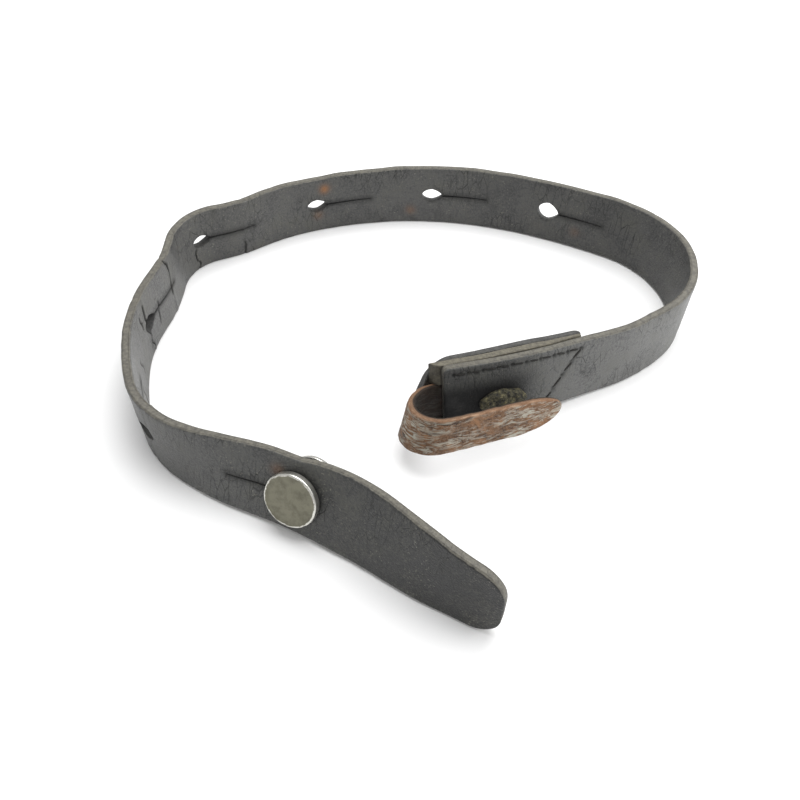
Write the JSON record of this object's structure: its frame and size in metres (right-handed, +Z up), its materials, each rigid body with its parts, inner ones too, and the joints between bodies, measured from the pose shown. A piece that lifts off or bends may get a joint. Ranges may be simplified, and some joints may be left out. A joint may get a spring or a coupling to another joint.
{
  "type": "leather hook-and-stud strap",
  "caption": "Aged leather strap with a row of slit keyholes, a riveted and sewn steel J-hook at one end and a loose double-headed stud, standing on edge in an open loop.",
  "frame": {"origin": "under the middle of the object's box, on the surface that the strap stands on", "axes": "+Z up from the strap's lower edge to its upper edge, +X along the loop's longest extent, towards the end away from the stud; +Y away from the stud's side"},
  "size_m": [0.1772, 0.1716, 0.0252],
  "materials": {
    "strap_leather": "worn black bridle leather, satin, with pale edges",
    "filler_leather": "raw dark leather edge",
    "lining_leather": "worn black leather, satin",
    "rusty_steel": "rusted, with scraped grey streaks",
    "corroded_rivet": "rough, dark, granular",
    "waxed_thread": "dark waxed linen",
    "worn_nickel": "dull olive-grey face with a bright worn rim",
    "stud_steel": "bright, lightly worn"
  },
  "bodies": {
    "strap_body": {"strap": "strap_leather", "filler_ply": "filler_leather", "lining_ply": "lining_leather", "hook": "rusty_steel", "hook_rivet": "corroded_rivet", "rivet_burr": "corroded_rivet", "stitching": "waxed_thread"},
    "stud_back_body": {"stud_back": "stud_steel"},
    "stud_front_body": {"stud_base": "stud_steel", "stud_cap": "worn_nickel"}
  },
  "joints": [
    {"name": "stud_slide", "type": "slide", "parent": "strap_body", "child": "stud_back_body", "axis": [-0.4057, -0.8111, 0.4213], "range_m": [0, 0.005]},
    {"name": "stud_turn", "type": "hinge", "parent": "stud_back_body", "child": "stud_front_body", "pos_m": [-0.03446, -0.05439, 0.01204], "axis": [-0.4057, -0.8111, 0.4213], "continuous": true}
  ]
}
